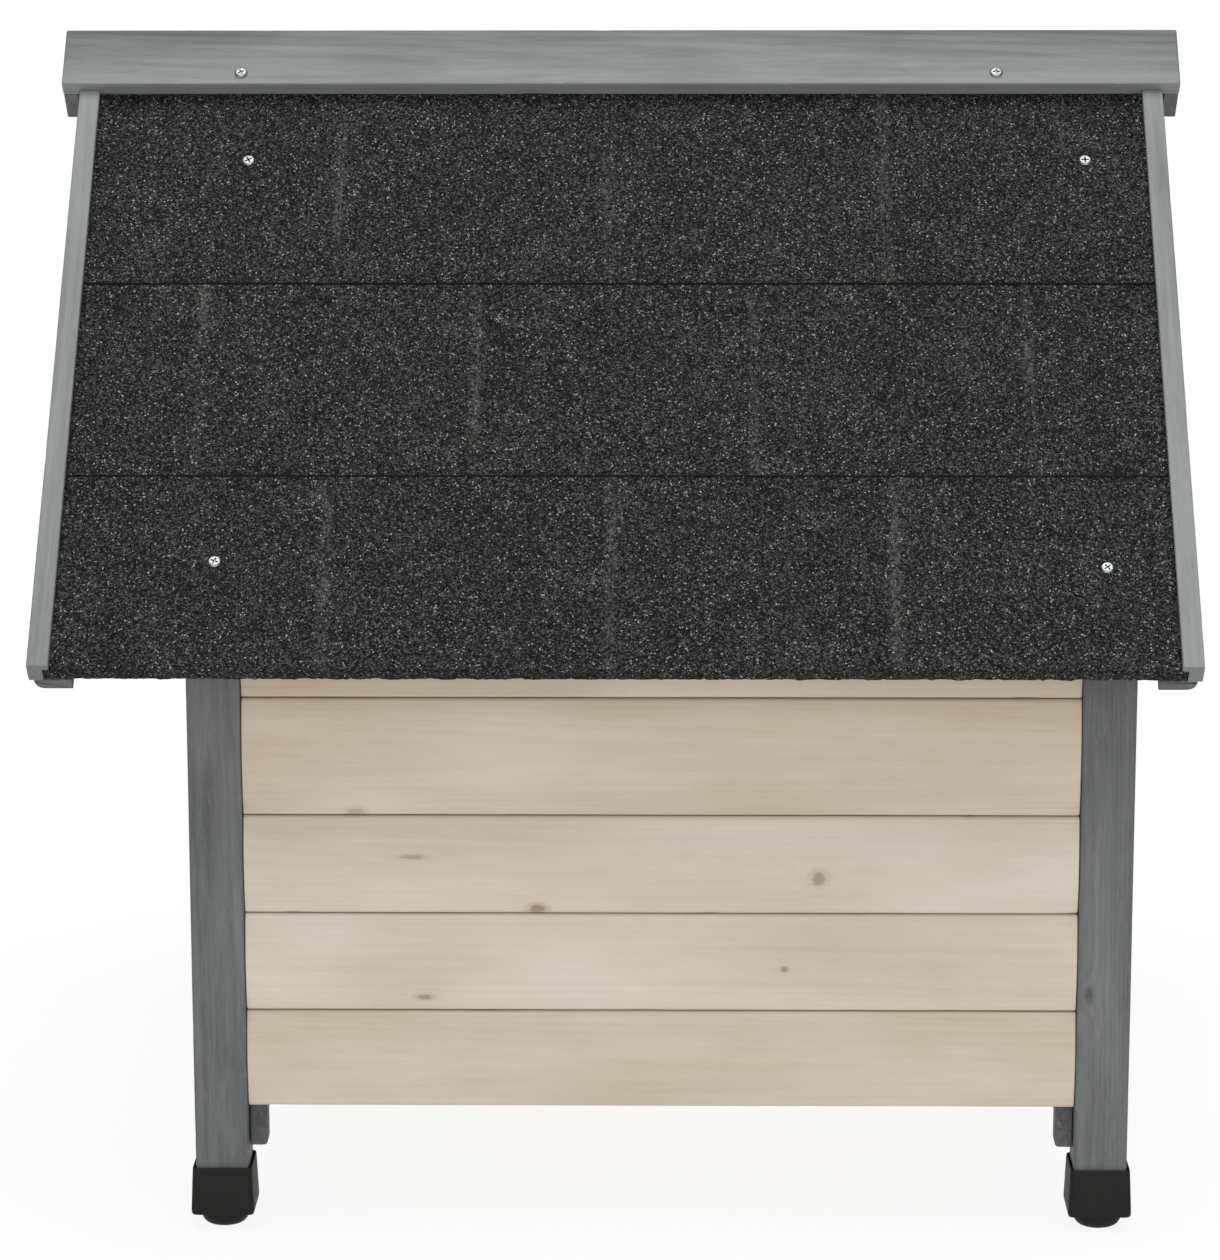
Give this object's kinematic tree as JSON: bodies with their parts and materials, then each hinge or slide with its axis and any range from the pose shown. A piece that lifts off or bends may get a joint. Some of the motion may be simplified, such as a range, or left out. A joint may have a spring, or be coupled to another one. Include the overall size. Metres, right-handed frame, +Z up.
{
  "type": "rabbit hutch",
  "caption": "Small timber animal house with a felted saddle roof, log-profile board walls, square posts on screw feet, and a hinged wire-mesh door with a bolt in the front gable.",
  "frame": {"origin": "on the ground, under the middle of the ridge", "axes": "+Z up, X along the ridge with the front gable and its door at -X, Y across the slopes; the longer roof overhang is at -X"},
  "size_m": [0.76, 0.716, 0.7637],
  "materials": {
    "grey_wood": "spruce with a grey brushed stain, satin",
    "board": "spruce with a thin white wash, grain and knots showing, matt",
    "panel": "plain softwood plywood, matt",
    "felt": "bitumen roofing felt with charcoal mineral granules, very matt",
    "plastic": "black moulded polypropylene",
    "zinc": "zinc-plated steel, semi-bright"
  },
  "bodies": {
    "house": {"post_front_right": "grey_wood", "post_front_left": "grey_wood", "post_rear_right": "grey_wood", "post_rear_left": "grey_wood", "floor_bearer_front": "grey_wood", "floor_bearer_rear": "grey_wood", "verge_strip_front_right": "grey_wood", "verge_strip_front_left": "grey_wood", "verge_strip_rear_right": "grey_wood", "verge_strip_rear_left": "grey_wood", "verge_batten_front_right": "grey_wood", "verge_batten_front_left": "grey_wood", "verge_batten_rear_right": "grey_wood", "verge_batten_rear_left": "grey_wood", "ridge_board_right": "grey_wood", "ridge_board_left": "grey_wood", "ridge_end_plate_front": "grey_wood", "ridge_end_plate_rear": "grey_wood", "door_jamb_right": "grey_wood", "door_jamb_left": "grey_wood", "side_board_right_1": "board", "side_board_right_2": "board", "side_board_right_3": "board", "side_board_right_4": "board", "side_board_right_5": "board", "side_board_left_1": "board", "side_board_left_2": "board", "side_board_left_3": "board", "side_board_left_4": "board", "side_board_left_5": "board", "rear_wall": "board", "front_wall": "board", "floor_panel": "panel", "roof_panel_right": "panel", "roof_panel_left": "panel", "felt_bottom_right": "felt", "felt_bottom_left": "felt", "felt_middle_right": "felt", "felt_middle_left": "felt", "felt_top_right": "felt", "felt_top_left": "felt", "foot_cap_front_right": "plastic", "foot_cap_front_left": "plastic", "foot_cap_rear_right": "plastic", "foot_cap_rear_left": "plastic", "hinge_jamb_leaf_lower": "zinc", "hinge_jamb_leaf_upper": "zinc", "hinge_pin_lower": "zinc", "hinge_pin_upper": "zinc", "bolt_keeper": "zinc"},
    "door": {"door_frame": "grey_wood", "door_mesh": "zinc", "hinge_door_leaf_lower": "zinc", "hinge_door_leaf_upper": "zinc", "bolt_base": "zinc"},
    "bolt": {"bolt_rod": "zinc"},
    "foot_front_right": {"foot_glide_front_right": "plastic"},
    "foot_front_left": {"foot_glide_front_left": "plastic"},
    "foot_rear_right": {"foot_glide_rear_right": "plastic"},
    "foot_rear_left": {"foot_glide_rear_left": "plastic"}
  },
  "joints": [
    {"name": "door_swing", "type": "hinge", "parent": "house", "child": "door", "pos_m": [-0.2829, 0.141, 0.1289], "axis": [0, 0, -1], "range_deg": [0, 140]},
    {"name": "bolt_slide", "type": "slide", "parent": "door", "child": "bolt", "axis": [0, -1, 0], "range_m": [0, 0.012]},
    {"name": "foot_front_right_screw", "type": "slide", "parent": "house", "child": "foot_front_right", "axis": [0, 0, -1], "range_m": [0, 0.012]},
    {"name": "foot_front_left_screw", "type": "slide", "parent": "house", "child": "foot_front_left", "axis": [0, 0, -1], "range_m": [0, 0.012]},
    {"name": "foot_rear_right_screw", "type": "slide", "parent": "house", "child": "foot_rear_right", "axis": [0, 0, -1], "range_m": [0, 0.012]},
    {"name": "foot_rear_left_screw", "type": "slide", "parent": "house", "child": "foot_rear_left", "axis": [0, 0, -1], "range_m": [0, 0.012]}
  ]
}
